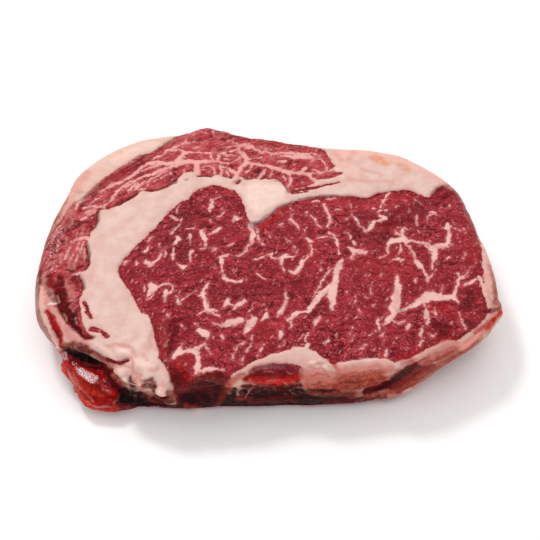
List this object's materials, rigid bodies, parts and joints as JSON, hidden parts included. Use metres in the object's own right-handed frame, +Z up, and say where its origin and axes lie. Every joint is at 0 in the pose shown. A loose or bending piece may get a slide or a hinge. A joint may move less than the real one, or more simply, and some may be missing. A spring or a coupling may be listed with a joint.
{
  "type": "raw ribeye steak",
  "caption": "Raw boneless ribeye steak, a thick oval slab of marbled beef with white fat seams, a fatty edge and a loose flap of meat at a corner, lying flat.",
  "frame": {"origin": "centre of the steak's bounding box, on the surface that it lies on", "axes": "+Z up out of the cut face, +X along the longest side towards the pointed tip, +Y away from the side with the loose flap"},
  "size_m": [0.1596, 0.119, 0.0256],
  "materials": {
    "raw_meat": "moist marbled raw meat, dark red lean with cream-pink fat and wet glints"
  },
  "bodies": {
    "root": {"steak": "raw_meat"}
  },
  "joints": []
}
